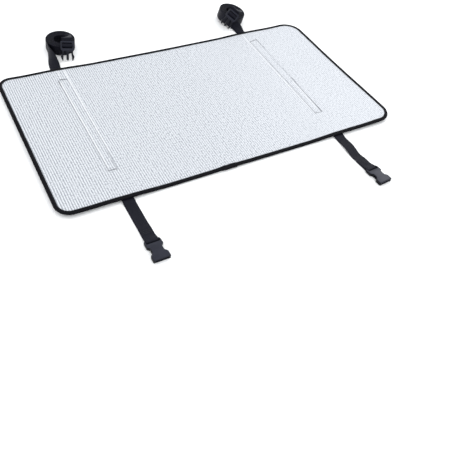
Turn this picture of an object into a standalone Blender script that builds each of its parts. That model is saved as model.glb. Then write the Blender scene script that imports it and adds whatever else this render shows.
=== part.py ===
"""Flat strap-on cover for an outdoor air conditioner, laid out on a surface.

A thin foil-faced foam panel has its edge wrapped in a folded binding tape. Two webbing straps are sewn
under it. Each strap ends in front in a socket buckle, and behind in a hand-wound roll whose loose end
is threaded through a prong buckle that leans on the roll's rim.
Metres, +Z up, the surface at z = 0. The frame's origin is the middle of the whole layout's footprint.
"""
import math

import bmesh
import bpy
from mathutils import Matrix, Vector

MM = 0.001

# Panel and binding
VISIBLE_X = 796 * MM
VISIBLE_Y = 410 * MM
PANEL_THICK = 2.4 * MM
TAPE_THICK = 0.8 * MM
TAPE_COVER = 8.0 * MM
FOLD_ROUND = 1.7 * MM
FOLD_CHAMFER = 0.5 * MM
FOLD_FLAT = 0.4 * MM
LAP_LENGTH = 26 * MM
LAP_X = 344 * MM
LAP_CLIMB = 12 * MM
GAP = 0.35 * MM
CORNER_RADIUS = {"front_left": 30 * MM, "front_right": 37 * MM, "back_right": 44 * MM, "back_left": 32 * MM}
RIGHT_EDGE_HOLLOW = 2.5 * MM
CORNER_ROWS = 40 * MM

# How the panel lies
EDGE_LIFT = 6.0 * MM
FLAT_HALF = 170 * MM
RIPPLE = 0.5 * MM
STRAP_RISE = 2.0 * MM
RISE_REACH = 75 * MM
LAP_REACH_X = 45 * MM
LAP_REACH_Y = 60 * MM
WAVE_X = 61 * MM
WAVE_Y = 83 * MM

# Webbing
WEB_WIDTH = 25 * MM
WEB_THICK = 1.4 * MM
WEB_Z = WEB_THICK / 2
TWIST_START = 12 * MM
TWIST_SHARE = 0.86
TWIST_POWER = 0.75
TURN_PITCH = 1.75 * MM
FULL_TURNS = 10

# Socket buckle, measured from its bar end towards its mouth
SOCKET_LENGTH = 46.5 * MM
SOCKET_COLUMNS = ("along", "half_width", "low", "high")
SOCKET_SECTIONS = (
    (0.0, 13.9, 1.2, 5.4),
    (1.2, 15.6, 0.6, 6.0),
    (4.5, 16.4, 0.2, 6.6),
    (16.0, 16.4, 0.0, 7.6),
    (18.6, 12.4, 0.0, 7.9),
    (20.5, 11.6, 0.0, 8.0),
    (28.5, 11.6, 0.0, 8.0),
    (31.0, 13.0, 0.0, 8.0),
    (33.4, 16.4, 0.0, 8.0),
    (36.0, 17.1, 0.0, 8.0),
    (44.8, 17.1, 0.0, 8.0),
    (46.5, 16.3, 0.5, 7.5),
)
SOCKET_ROUND = 1.8 * MM
MOUTH_HALF_WIDTH = 13.2 * MM
MOUTH_LOW = 1.5 * MM
MOUTH_HIGH = 6.5 * MM
MOUTH_START = 22 * MM
STRAP_WINDOW = 9.0 * MM
STRAP_WINDOW_HALF = 13.4 * MM
BAR_RADIUS = 1.6 * MM
BAR_ALONG = 3.3 * MM
BAR_Z = 3.4 * MM
LOOP_RADIUS = 2.75 * MM
SEWN_TAIL = 30 * MM
LOOP_RETURN = 16 * MM
SEWN_END = 2 * MM
STEP_DOWN = 12 * MM

# Prong buckle, measured from its end bar towards its prong tips
PRONG_THICK = 3.0 * MM
LADDER_HALF_WIDTH = 16.2 * MM
LADDER_LENGTH = 20.2 * MM
SLOT_HALF_WIDTH = 13.3 * MM
SLOT_STARTS = (3.4 * MM, 11.6 * MM)
SLOT_LENGTH = 5.2 * MM
LADDER_CORNER = 1.6 * MM
THREAD_OFFSET = PRONG_THICK / 2 + WEB_THICK / 2 + GAP
THREAD_SWEEP = 4.8 * MM
ARM_COLUMNS = ("across", "along")
ARM_OUTLINE = (
    (14.6, 20.2),
    (12.6, 23.0),
    (12.9, 30.0),
    (15.9, 35.5),
    (15.9, 37.6),
    (13.4, 43.0),
    (11.9, 45.6),
    (10.6, 45.2),
    (10.4, 40.0),
    (9.4, 30.0),
    (8.0, 23.4),
    (4.6, 22.2),
    (2.9, 24.0),
    (2.6, 42.6),
    (1.4, 45.0),
)

# Where the pieces lie, measured from the visible panel's front left corner.
# A tail_route row, in degrees and millimetres round the roll's axis, has the columns angle, radius,
# height and turn off its edge.
SIDES = {
    "left": {
        "front_x": 127.4 * MM,
        "back_x": 133.0 * MM,
        "bar_y": -111.5 * MM,
        "socket_turn": 0.0,
        "hump": 0.0,
        "roll_centre": (172.2 * MM, 506.9 * MM),
        "roll_radius": 35.3 * MM,
        "roll_lean": (0.0, 0.0),
        "entry_angle": 180.0,
        "exit_angle": 98.0,
        "tail_route": (
            (80, 16.2, 12.5, 0),
            (60, 15.4, 13.0, 0),
            (40, 14.6, 14.5, 0),
            (20, 13.4, 17.0, 2),
            (0, 12.2, 21.0, 8),
            (-28, 14.5, 28.0, 34),
            (-48, 17.3, 34.5, 57),
            (-62, 21.3, 39.4, 80),
        ),
        "buckle_top": (178.1 * MM, 473.2 * MM, 38.2 * MM),
        "buckle_tip": (169.0 * MM, 446.4 * MM, 2.9 * MM),
        "buckle_across": (1.0, -0.073, 0.0),
    },
    "right": {
        "front_x": 638.4 * MM,
        "back_x": 642.3 * MM,
        "bar_y": -118.5 * MM,
        "socket_turn": 4.4,
        "hump": 2.6 * MM,
        "roll_centre": (644.2 * MM, 490.5 * MM),
        "roll_radius": 36.2 * MM,
        "roll_lean": (0.125, -0.094),
        "entry_angle": 218.0,
        "exit_angle": 62.0,
        "tail_route": (
            (42, 16.4, 12.5, 0),
            (22, 15.4, 13.0, 0),
            (2, 14.2, 14.5, 0),
            (-18, 12.6, 18.5, 3),
            (-38, 11.6, 24.5, 12),
            (-60, 12.6, 32.0, 40),
            (-80, 18.4, 39.0, 68),
        ),
        "buckle_top": (633.8 * MM, 458.5 * MM, 45.8 * MM),
        "buckle_tip": (600.8 * MM, 448.4 * MM, 14.3 * MM),
        "buckle_across": (20.3, -15.1, -15.0),
    },
}
MIDDLE_X = VISIBLE_X / 2
MIDDLE_Y = 187.9 * MM

PANEL_LOW_Z = TAPE_THICK + GAP
OUTER_MIN = (-TAPE_COVER, -TAPE_COVER)
OUTER_MAX = (VISIBLE_X + TAPE_COVER, VISIBLE_Y + TAPE_COVER)


def clear_scene():
    for old in list(bpy.data.objects):
        bpy.data.objects.remove(old, do_unlink=True)


def material(name, colour, roughness, metallic=0.0):
    made = bpy.data.materials.new(name)
    made.use_nodes = True
    shader = made.node_tree.nodes["Principled BSDF"]
    shader.inputs["Base Color"].default_value = (*colour, 1.0)
    shader.inputs["Roughness"].default_value = roughness
    shader.inputs["Metallic"].default_value = metallic
    return made


def to_world(x, y, z):
    return Vector((x - MIDDLE_X, y - MIDDLE_Y, z))


def smooth(value):
    """0 below 0, 1 above 1, and an even ease between."""
    value = min(1.0, max(0.0, value))
    return value * value * (3 - 2 * value)


def add_object(name, vertices, faces, surface, smooth_angle=None):
    mesh = bpy.data.meshes.new(name)
    mesh.from_pydata(vertices, [], faces)
    mesh.materials.append(surface)
    work = bmesh.new()
    work.from_mesh(mesh)
    bmesh.ops.recalc_face_normals(work, faces=work.faces)
    work.to_mesh(mesh)
    work.free()
    if smooth_angle is not None:
        mesh.shade_smooth()
        mesh.set_sharp_from_angle(angle=math.radians(smooth_angle))
    made = bpy.data.objects.new(name, mesh)
    bpy.context.collection.objects.link(made)
    return made


def strap_x(side, y):
    """A strap runs almost straight from its front end to its back end."""
    share = min(1.0, max(0.0, y / VISIBLE_Y))
    return side["front_x"] + (side["back_x"] - side["front_x"]) * share


def panel_underside(x, y):
    """Height of the panel's lower face: down in the middle, up over the straps and at both ends."""
    from_middle = abs(x - VISIBLE_X / 2)
    lift = max(0.0, (from_middle - FLAT_HALF) / (VISIBLE_X / 2 + TAPE_COVER - FLAT_HALF))
    height = PANEL_LOW_Z + EDGE_LIFT * lift ** 1.6
    for side in SIDES.values():
        aside = max(0.0, abs(x - strap_x(side, y)) - WEB_WIDTH / 2 - 2 * MM)
        height += STRAP_RISE * (1 - smooth(aside / RISE_REACH))
    lap_aside = max(0.0, abs(x - LAP_X - LAP_LENGTH / 2) - LAP_LENGTH / 2)
    lap = (1 - smooth(lap_aside / LAP_REACH_X)) * (1 - smooth((y + TAPE_COVER) / LAP_REACH_Y))
    height += (TAPE_THICK + GAP) * lap
    wave = math.sin(x / WAVE_X + 1.3) * math.sin(y / WAVE_Y + 0.4)
    return height + RIPPLE * (1 + wave)


def outline_x(y, inset):
    """Left and right ends of a line across the rounded outline at height y, pulled in by inset."""
    low_y, high_y = OUTER_MIN[1] + inset, OUTER_MAX[1] - inset
    ends = []
    for front, back, sign in (("front_left", "back_left", 1), ("front_right", "back_right", -1)):
        edge = OUTER_MIN[0] + inset if sign > 0 else OUTER_MAX[0] - inset
        for corner, along in ((front, y - low_y), (back, high_y - y)):
            radius = CORNER_RADIUS[corner] - inset
            if along < radius:
                short = radius - along
                edge += sign * (radius - math.sqrt(max(0.0, radius * radius - short * short)))
        if sign < 0:
            edge -= right_edge_hollow(y)
        ends.append(edge)
    return ends


def right_edge_hollow(y):
    share = (y - OUTER_MIN[1]) / (OUTER_MAX[1] - OUTER_MIN[1])
    return RIGHT_EDGE_HOLLOW * math.sin(math.pi * min(1.0, max(0.0, share))) ** 2


def make_panel(surface):
    """The cut sheet: a grid across the rounded outline, closed round its rim."""
    inset = TAPE_THICK + GAP
    low_y, high_y = OUTER_MIN[1] + inset, OUTER_MAX[1] - inset
    corner = CORNER_ROWS
    rows = [low_y + corner * (1 - math.cos(math.pi / 2 * i / 6)) for i in range(6)]
    rows += [low_y + corner + (high_y - low_y - 2 * corner) * i / 9 for i in range(10)]
    rows += [high_y - corner * (1 - math.cos(math.pi / 2 * i / 6)) for i in range(5, -1, -1)]
    columns = 56
    vertices = []
    for level in (0.0, PANEL_THICK):
        for y in rows:
            left, right = outline_x(y, inset)
            for i in range(columns + 1):
                x = left + (right - left) * i / columns
                vertices.append(to_world(x, y, panel_underside(x, y) + level))
    wide, deep = columns + 1, len(rows)
    layer = wide * deep
    faces = []
    for j in range(deep - 1):
        for i in range(columns):
            a = j * wide + i
            faces.append((a, a + wide, a + wide + 1, a + 1))
            faces.append((a + layer, a + layer + 1, a + layer + wide + 1, a + layer + wide))
    rim = list(range(wide)) + [j * wide + columns for j in range(1, deep)]
    rim += [(deep - 1) * wide + i for i in range(columns - 1, -1, -1)]
    rim += [j * wide for j in range(deep - 2, 0, -1)]
    for a, b in zip(rim, rim[1:] + rim[:1]):
        faces.append((a, b, b + layer, a + layer))
    return add_object("panel", vertices, faces, surface, 40)


def edge_path():
    """Points and outward directions round the outer edge, from the lap in the front edge and once round."""
    low_x, low_y = OUTER_MIN
    high_x, high_y = OUTER_MAX
    points = []

    def straight(start, end, outward, steps):
        for i in range(steps):
            share = i / steps
            x, y = (a + (b - a) * share for a, b in zip(start, end))
            points.append((x, y, outward))

    def corner(name, centre, from_angle):
        radius = CORNER_RADIUS[name]
        for i in range(8):
            angle = math.radians(from_angle + 90 * i / 8)
            aim = (math.cos(angle), math.sin(angle))
            points.append((centre[0] + radius * aim[0], centre[1] + radius * aim[1], aim))

    r_fl, r_fr = CORNER_RADIUS["front_left"], CORNER_RADIUS["front_right"]
    r_br, r_bl = CORNER_RADIUS["back_right"], CORNER_RADIUS["back_left"]
    straight((LAP_X, low_y), (LAP_X + LAP_LENGTH, low_y), (0, -1), 4)
    straight((LAP_X + LAP_LENGTH, low_y), (high_x - r_fr, low_y), (0, -1), 26)
    corner("front_right", (high_x - r_fr, low_y + r_fr), -90)
    straight((high_x, low_y + r_fr), (high_x, high_y - r_br), (1, 0), 14)
    corner("back_right", (high_x - r_br, high_y - r_br), 0)
    straight((high_x - r_br, high_y), (low_x + r_bl, high_y), (0, 1), 50)
    corner("back_left", (low_x + r_bl, high_y - r_bl), 90)
    straight((low_x, high_y - r_bl), (low_x, low_y + r_fl), (-1, 0), 14)
    corner("front_left", (low_x + r_fl, low_y + r_fl), 180)
    straight((low_x + r_fl, low_y), (LAP_X - LAP_CLIMB, low_y), (0, -1), 21)
    straight((LAP_X - LAP_CLIMB, low_y), (LAP_X, low_y), (0, -1), 4)
    straight((LAP_X, low_y), (LAP_X + LAP_LENGTH, low_y), (0, -1), 4)
    points.append((LAP_X + LAP_LENGTH, low_y, (0, -1)))
    return points


def tape_section(outward_layers):
    """The folded tape's cross-section: (inward, height above the panel's lower face) pairs."""
    step = outward_layers * (TAPE_THICK + GAP)
    top = PANEL_THICK + GAP + step
    low = -GAP - step
    wall = TAPE_THICK - step
    thick = TAPE_THICK
    return (
        (TAPE_COVER, top + thick), (FOLD_ROUND - step, top + thick),
        (FOLD_CHAMFER - step, top + thick - FOLD_CHAMFER),
        (-step, top - FOLD_FLAT), (-step, low + FOLD_FLAT),
        (FOLD_CHAMFER - step, low - thick + FOLD_CHAMFER),
        (FOLD_ROUND - step, low - thick), (TAPE_COVER, low - thick), (TAPE_COVER, low),
        (wall, low), (wall, top), (TAPE_COVER, top),
    )


def make_binding(surface):
    """One tape folded over the panel's edge: it goes once round, and its end laps over its start."""
    points = edge_path()
    lap_points = 5
    climb_points = 4
    vertices = []
    for index, (x, y, outward) in enumerate(points):
        to_end = len(points) - 1 - index
        layers = smooth((lap_points + climb_points - 1 - to_end) / climb_points)
        for inward, height in tape_section(layers):
            px, py = x - outward[0] * inward, y - outward[1] * inward
            if outward[0] > 0:
                px -= right_edge_hollow(py)
            vertices.append(to_world(px, py, panel_underside(px, py) + height))
    count = len(tape_section(0))
    faces = [tuple(range(count)), tuple(range(len(vertices) - 1, len(vertices) - count - 1, -1))]
    for i in range(len(points) - 1):
        for k in range(count):
            a, b = i * count + k, i * count + (k + 1) % count
            faces.append((a, b, b + count, a + count))
    return add_object("binding", vertices, faces, surface, 35)


def band(name, centres, acrosses, surface):
    """A strip of webbing along centres, its width along acrosses."""
    vertices = []
    last = len(centres) - 1
    for i, centre in enumerate(centres):
        heading = (centres[min(last, i + 1)] - centres[max(0, i - 1)]).normalized()
        across = (acrosses[i] - heading * acrosses[i].dot(heading)).normalized()
        up = across.cross(heading)
        for wide, high in ((-1, -1), (1, -1), (1, 1), (-1, 1)):
            vertices.append(centre + across * (wide * WEB_WIDTH / 2) + up * (high * WEB_THICK / 2))
    faces = [(3, 2, 1, 0), tuple(last * 4 + k for k in range(4))]
    for i in range(last):
        for k in range(4):
            a, b = i * 4 + k, i * 4 + (k + 1) % 4
            faces.append((a, b, b + 4, a + 4))
    return add_object(name, vertices, faces, surface, 40)


def loop_route():
    """Centres along the sewn tail, round the socket buckle's bar and back over it, in (along, z)."""
    route = [(-SEWN_TAIL + (SEWN_TAIL + BAR_ALONG) * i / 4, BAR_Z - LOOP_RADIUS) for i in range(4)]
    for i in range(11):
        angle = math.radians(-90 + 180 * i / 10)
        route.append((BAR_ALONG + LOOP_RADIUS * math.cos(angle), BAR_Z + LOOP_RADIUS * math.sin(angle)))
    high, second = BAR_Z + LOOP_RADIUS, WEB_Z + WEB_THICK + GAP
    for i in range(1, 8):
        share = i / 7
        route.append((BAR_ALONG - LOOP_RETURN * share, high + (second - high) * smooth(share)))
    route.append((-SEWN_TAIL + SEWN_END, second))
    for i in range(1, 7):
        share = i / 6
        route.append((-SEWN_TAIL - STEP_DOWN * share, second + (WEB_Z - second) * smooth(share)))
    return route


def socket_axes(side):
    """The socket buckle's bar end, its direction towards the mouth, and its width direction."""
    turn = math.radians(side["socket_turn"])
    along = Vector((math.sin(turn), -math.cos(turn), 0))
    across = Vector((math.cos(turn), math.sin(turn), 0))
    return to_world(side["front_x"], side["bar_y"], 0), along, across


def under_panel_z(side, y):
    """Height of the strap's middle: on the surface outside, and close under tape and panel inside."""
    x = strap_x(side, y)
    edge = min(y + TAPE_COVER, VISIBLE_Y + TAPE_COVER - y)
    below = GAP + WEB_THICK / 2 + (TAPE_THICK + GAP) * (1 - smooth((edge - TAPE_COVER) / (14 * MM)))
    inside = panel_underside(x, y) - below
    return WEB_Z + (inside - WEB_Z) * smooth((edge + TWIST_START) / (TWIST_START - 2 * MM))


def under_panel_across(side, y):
    """The strap's width direction: level outside, and along the panel's slope inside."""
    x, half = strap_x(side, y), WEB_WIDTH / 2
    edge = min(y + TAPE_COVER, VISIBLE_Y + TAPE_COVER - y)
    slope = (panel_underside(x + half, y) - panel_underside(x - half, y)) / WEB_WIDTH
    return Vector((1, 0, slope * smooth((edge + TWIST_START) / (TWIST_START - 2 * MM)))).normalized()


def strap_route(side):
    """Centres and width directions from the sewn front loop to where the strap joins its roll."""
    bar_end, along, across = socket_axes(side)
    centres = [bar_end + along * s + Vector((0, 0, z)) for s, z in loop_route()]
    acrosses = [across] * len(centres)
    start = centres[-1]
    front_y = start.y + MIDDLE_Y
    inside_y = -TAPE_COVER - TWIST_START
    for i in range(1, 11):
        share = i / 10
        y = front_y + (inside_y - front_y) * share
        x = start.x + (side["front_x"] - MIDDLE_X - start.x) * smooth(share)
        lift = side["hump"] * math.sin(math.pi * share) ** 2
        centres.append(Vector((x, y - MIDDLE_Y, WEB_Z + lift)))
        acrosses.append(Vector((1, 0, 0)))
    ys = [inside_y + TWIST_START * i / 4 for i in range(1, 5)]
    ys += [-TAPE_COVER + 24 * MM * i / 5 for i in range(1, 6)]
    ys += [16 * MM + (VISIBLE_Y - 32 * MM) * i / 14 for i in range(1, 15)]
    ys += [VISIBLE_Y - 16 * MM + 24 * MM * i / 5 for i in range(1, 6)]
    ys += [VISIBLE_Y + TAPE_COVER + TWIST_START * i / 4 for i in range(1, 5)]
    for y in ys:
        centres.append(to_world(strap_x(side, y), y, under_panel_z(side, y)))
        acrosses.append(under_panel_across(side, y))
    twist_centres, twist_acrosses = twist_route(side, centres[-1])
    return centres + twist_centres, acrosses + twist_acrosses


def hermite(start, start_aim, end, end_aim, share):
    s2, s3 = share * share, share ** 3
    return (start * (2 * s3 - 3 * s2 + 1) + start_aim * (s3 - 2 * s2 + share)
            + end * (3 * s2 - 2 * s3) + end_aim * (s3 - s2))


def twist_route(side, start):
    """The strap turns onto its edge, its left edge staying down, and meets the roll's outer turn."""
    low_start = start - Vector((WEB_WIDTH / 2, 0, WEB_Z))
    low_end, end_aim = roll_point(side, 0.0, WEB_THICK / 2, 0.0), roll_heading(side, 0.0)
    end_axis = roll_axes(side)[2]
    reach = (low_end - low_start).length
    start_aim = Vector((0, reach, 0))
    centres, acrosses = [], []
    steps = 24
    for i in range(1, steps + 1):
        share = i / steps
        low_edge = hermite(low_start, start_aim, low_end, end_aim * reach, share)
        ahead = hermite(low_start, start_aim, low_end, end_aim * reach, min(1.0, share + 0.01))
        back = hermite(low_start, start_aim, low_end, end_aim * reach, share - 0.01)
        turn = math.pi / 2 * smooth(share / TWIST_SHARE) ** TWIST_POWER
        heading = Vector((ahead.x - back.x, ahead.y - back.y, 0)).normalized()
        upright = Vector((0, 0, 1)).lerp(end_axis, smooth(share))
        across = (heading.cross(upright) * math.cos(turn) + upright * math.sin(turn)).normalized()
        low_edge.z += WEB_Z * math.cos(turn)
        centres.append(low_edge + across * (WEB_WIDTH / 2))
        acrosses.append(across)
    centres[-1] -= end_aim * GAP
    return centres, acrosses


def roll_angle(side, travelled):
    """Direction from the roll's middle after a clockwise travel in radians from the strap's entry."""
    return math.radians(side["entry_angle"]) - travelled


def roll_axes(side):
    """The roll's two flat directions and the axis that it is wound round, which may lean."""
    axis = Vector((*side["roll_lean"], 1)).normalized()
    flat_x = Vector((0, 1, 0)).cross(axis).normalized()
    return flat_x, axis.cross(flat_x), axis


def roll_place(side, angle, radius, height):
    """A place measured round the roll's axis, the roll's lowest rim just on the surface."""
    flat_x, flat_y, axis = roll_axes(side)
    lift = side["roll_radius"] * math.sqrt(max(0.0, 1 - axis.z ** 2))
    foot = to_world(*side["roll_centre"], lift)
    return foot + flat_x * (radius * math.cos(angle)) + flat_y * (radius * math.sin(angle)) + axis * height


def roll_point(side, travelled, depth, height=WEB_WIDTH / 2):
    """A point at a depth below the roll's outer spiral face."""
    radius = side["roll_radius"] - TURN_PITCH * travelled / (2 * math.pi) - depth
    return roll_place(side, roll_angle(side, travelled), radius, height)


def roll_heading(side, travelled):
    angle = roll_angle(side, travelled)
    flat_x, flat_y, _ = roll_axes(side)
    return flat_x * math.sin(angle) - flat_y * math.cos(angle)


def last_part_turn(side):
    return math.radians((side["entry_angle"] - side["exit_angle"]) % 360)


def make_roll(name, side, surface):
    """The wound strap as one ring on its edge, with the steps where the strap starts and ends."""
    full = 2 * math.pi
    last = last_part_turn(side)
    step = math.radians(1.5)
    marks = [step] + [full * i / 60 for i in range(1, 60)] + [last - step, last, full]
    vertices = []
    for travelled in sorted(marks):
        inner_turn = FULL_TURNS if travelled < last else FULL_TURNS - 1
        deep = TURN_PITCH * inner_turn + WEB_THICK
        for depth, z in ((0.0, 0.0), (deep, 0.0), (deep, WEB_WIDTH), (0.0, WEB_WIDTH)):
            vertices.append(roll_point(side, travelled, depth, z))
    count = len(marks)
    faces = []
    for i in range(count):
        for k in range(4):
            a, b = i * 4 + k, i * 4 + (k + 1) % 4
            c, d = ((i + 1) % count) * 4 + (k + 1) % 4, ((i + 1) % count) * 4 + k
            faces.append((a, b, c, d))
    return add_object(name, vertices, faces, surface, 40)


def prong_axes(side):
    """The prong buckle's end bar, its direction towards the tips, its width and its front direction."""
    top, tip = to_world(*side["buckle_top"]), to_world(*side["buckle_tip"])
    along = (tip - top).normalized()
    across = Vector(side["buckle_across"])
    across = (across - along * across.dot(along)).normalized()
    return top, along, across, along.cross(across)


def thread_route():
    """The loose end through the ladder: (along, front) pairs, behind, over the middle bar, behind."""
    route = [(-8 * MM, -THREAD_OFFSET), (-4 * MM, -THREAD_OFFSET), (0.0, -THREAD_OFFSET)]
    first, second = (start + SLOT_LENGTH / 2 for start in SLOT_STARTS)
    for middle, sign in ((first, 1), (second, -1)):
        for i in range(9):
            share = i / 8
            height = -sign * THREAD_OFFSET * math.cos(math.pi * share)
            route.append((middle + THREAD_SWEEP * (share - 0.5), height))
    route += [(LADDER_LENGTH, -THREAD_OFFSET), (LADDER_LENGTH + 2 * MM, -THREAD_OFFSET)]
    return route


def spline(points, steps):
    """A smooth curve through the points: steps places on each stretch between two of them."""
    made = []
    for i in range(len(points) - 1):
        before, after = points[max(0, i - 1)], points[min(len(points) - 1, i + 2)]
        start, end = points[i], points[i + 1]
        start_aim = (end - before) / (2 if i else 1)
        end_aim = (after - start) / (2 if i < len(points) - 2 else 1)
        made += [hermite(start, start_aim, end, end_aim, k / steps) for k in range(steps)]
    return made + [points[-1]]


def make_tail(name, side, surface):
    """The loose end: off the roll's inner turn, over the rim, and through the prong buckle's slots."""
    axis = roll_axes(side)[2]
    travelled = 2 * math.pi * FULL_TURNS + last_part_turn(side)
    start = roll_point(side, travelled, WEB_THICK / 2) + roll_heading(side, travelled) * GAP
    top, along, across, front = prong_axes(side)
    route = thread_route()
    threaded = [top + along * distance + front * height for distance, height in route]
    places = [start]
    for angle, radius, height, _ in side["tail_route"]:
        places.append(roll_place(side, math.radians(angle), radius * MM, height * MM))
    turns = [0.0] + [math.radians(row[3]) for row in side["tail_route"]] + [math.pi / 2]
    steps = 5
    centres = spline(places + threaded[:2], steps)[:-1]
    acrosses = []
    for i in range(len(centres)):
        stretch, share = min(i // steps, len(turns) - 2), i / steps - min(i // steps, len(turns) - 2)
        turn = turns[stretch] + (turns[stretch + 1] - turns[stretch]) * min(1.0, share)
        acrosses.append(axis * math.cos(turn) + across * math.sin(turn))
    return band(name, centres + threaded[1:], acrosses + [across] * (len(threaded) - 1), surface)


def box_object(name, low, high):
    corners = [(x, y, z) for x in (low[0], high[0]) for y in (low[1], high[1]) for z in (low[2], high[2])]
    faces = [(0, 1, 3, 2), (4, 6, 7, 5), (0, 4, 5, 1), (2, 3, 7, 6), (0, 2, 6, 4), (1, 5, 7, 3)]
    return add_object(name, corners, faces, None)


def apply_boolean(target, tool, operation):
    cut = target.modifiers.new(tool.name, "BOOLEAN")
    cut.operation = operation
    cut.object = tool
    cut.solver = "EXACT"
    evaluated = target.evaluated_get(bpy.context.evaluated_depsgraph_get())
    result = bpy.data.meshes.new_from_object(evaluated)
    target.modifiers.clear()
    target.data = result
    bpy.data.objects.remove(tool, do_unlink=True)


def rounded_section(half_width, low, high):
    """A rectangle with rounded corners, as (across, z) pairs."""
    radius = min(SOCKET_ROUND, (high - low) / 2.2)
    section = []
    for sign_x, sign_z, start in ((1, -1, -90), (1, 1, 0), (-1, 1, 90), (-1, -1, 180)):
        centre_x = sign_x * (half_width - radius)
        centre_z = low + radius if sign_z < 0 else high - radius
        for i in range(4):
            angle = math.radians(start + 30 * i)
            section.append((centre_x + radius * math.cos(angle), centre_z + radius * math.sin(angle)))
    return section


def make_socket(name, side, surface):
    """The socket buckle: a moulded body with an open mouth, side windows and a bar for the strap."""
    vertices = []
    for row in SOCKET_SECTIONS:
        size = dict(zip(SOCKET_COLUMNS, (value * MM for value in row)))
        for across, z in rounded_section(size["half_width"], size["low"], size["high"]):
            vertices.append((across, -size["along"], z))
    count = len(vertices) // len(SOCKET_SECTIONS)
    last = len(vertices) - count
    faces = [tuple(range(count)), tuple(range(last + count - 1, last - 1, -1))]
    for i in range(len(SOCKET_SECTIONS) - 1):
        for k in range(count):
            a, b = i * count + k, i * count + (k + 1) % count
            faces.append((a, b, b + count, a + count))
    body = add_object(name, vertices, faces, surface)
    mouth = box_object("mouth", (-MOUTH_HALF_WIDTH, -SOCKET_LENGTH - MM, MOUTH_LOW),
                       (MOUTH_HALF_WIDTH, -MOUTH_START, MOUTH_HIGH))
    apply_boolean(body, mouth, "DIFFERENCE")
    window = box_object("window", (-STRAP_WINDOW_HALF, -STRAP_WINDOW, -MM), (STRAP_WINDOW_HALF, MM, 10 * MM))
    apply_boolean(body, window, "DIFFERENCE")
    bar_mesh = bpy.data.meshes.new("bar")
    work = bmesh.new()
    turned = Matrix.Translation((0, -BAR_ALONG, BAR_Z)) @ Matrix.Rotation(math.pi / 2, 4, "Y")
    bmesh.ops.create_cone(work, cap_ends=True, segments=12, radius1=BAR_RADIUS, radius2=BAR_RADIUS,
                          depth=2 * STRAP_WINDOW_HALF + 2 * MM, matrix=turned)
    work.to_mesh(bar_mesh)
    work.free()
    bar = bpy.data.objects.new("bar", bar_mesh)
    bpy.context.collection.objects.link(bar)
    apply_boolean(body, bar, "UNION")
    body.data.shade_smooth()
    body.data.set_sharp_from_angle(angle=math.radians(35))
    body.location, _, _ = socket_axes(side)
    body.rotation_euler = (0, 0, math.radians(side["socket_turn"]))
    return body


def make_prongs(name, side, surface):
    """The prong buckle: a ladder with two slots, two sprung arms with barbs and a middle guide."""
    half = [(LADDER_HALF_WIDTH - LADDER_CORNER, 0.0), (LADDER_HALF_WIDTH, LADDER_CORNER),
            (LADDER_HALF_WIDTH, LADDER_LENGTH - LADDER_CORNER)]
    for row in ARM_OUTLINE:
        size = dict(zip(ARM_COLUMNS, row))
        half.append((size["across"] * MM, size["along"] * MM))
    outline = half + [(-across, along) for across, along in reversed(half)]
    count = len(outline)
    vertices = [(across, -along, -PRONG_THICK / 2) for across, along in outline]
    vertices += [(across, -along, PRONG_THICK / 2) for across, along in outline]
    faces = [tuple(range(count)), tuple(range(2 * count - 1, count - 1, -1))]
    faces += [(k, (k + 1) % count, (k + 1) % count + count, k + count) for k in range(count)]
    body = add_object(name, vertices, faces, surface)
    for index, start in enumerate(SLOT_STARTS):
        slot = box_object("slot_%d" % index, (-SLOT_HALF_WIDTH, -start - SLOT_LENGTH, -PRONG_THICK),
                          (SLOT_HALF_WIDTH, -start, PRONG_THICK))
        apply_boolean(body, slot, "DIFFERENCE")
    top, along, across, front = prong_axes(side)
    axes = Matrix((across, -along, front)).transposed()
    body.matrix_world = Matrix.Translation(top) @ axes.to_4x4()
    return body


def main():
    clear_scene()
    foil = material("foil foam", (0.74, 0.77, 0.82), 0.45, 0.4)
    tape = material("binding tape", (0.02, 0.022, 0.026), 0.75)
    webbing = material("webbing", (0.022, 0.024, 0.03), 0.7)
    plastic = material("buckle plastic", (0.025, 0.026, 0.03), 0.42)
    make_panel(foil)
    make_binding(tape)
    for label, side in SIDES.items():
        centres, acrosses = strap_route(side)
        band("strap_" + label, centres, acrosses, webbing)
        make_roll("roll_" + label, side, webbing)
        make_tail("strap_end_" + label, side, webbing)
        make_socket("socket_buckle_" + label, side, plastic)
        make_prongs("prong_buckle_" + label, side, plastic)


main()
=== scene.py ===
"""The flat air conditioner cover as it lies in the photo: ribbed foil panel, bound edge, webbing and buckles.

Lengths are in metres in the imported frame. Tables are in millimetres and degrees, and mm() gives metres.
"""
import math

import bmesh
import bpy
from mathutils import Matrix, Vector, noise


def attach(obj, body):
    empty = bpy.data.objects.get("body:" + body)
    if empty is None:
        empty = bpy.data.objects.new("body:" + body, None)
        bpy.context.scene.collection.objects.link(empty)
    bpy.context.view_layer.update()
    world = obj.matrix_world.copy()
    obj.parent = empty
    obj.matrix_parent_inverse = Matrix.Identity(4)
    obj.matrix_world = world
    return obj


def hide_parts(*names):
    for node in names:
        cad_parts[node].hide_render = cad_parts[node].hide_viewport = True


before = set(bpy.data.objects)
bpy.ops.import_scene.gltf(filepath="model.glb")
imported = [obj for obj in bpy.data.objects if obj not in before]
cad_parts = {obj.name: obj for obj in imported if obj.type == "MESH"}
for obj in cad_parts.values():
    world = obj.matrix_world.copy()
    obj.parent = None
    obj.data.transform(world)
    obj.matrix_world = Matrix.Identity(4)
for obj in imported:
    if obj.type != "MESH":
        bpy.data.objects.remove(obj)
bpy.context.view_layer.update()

MM = 0.001


def mm(*values):
    return tuple(value * MM for value in values)


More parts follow.
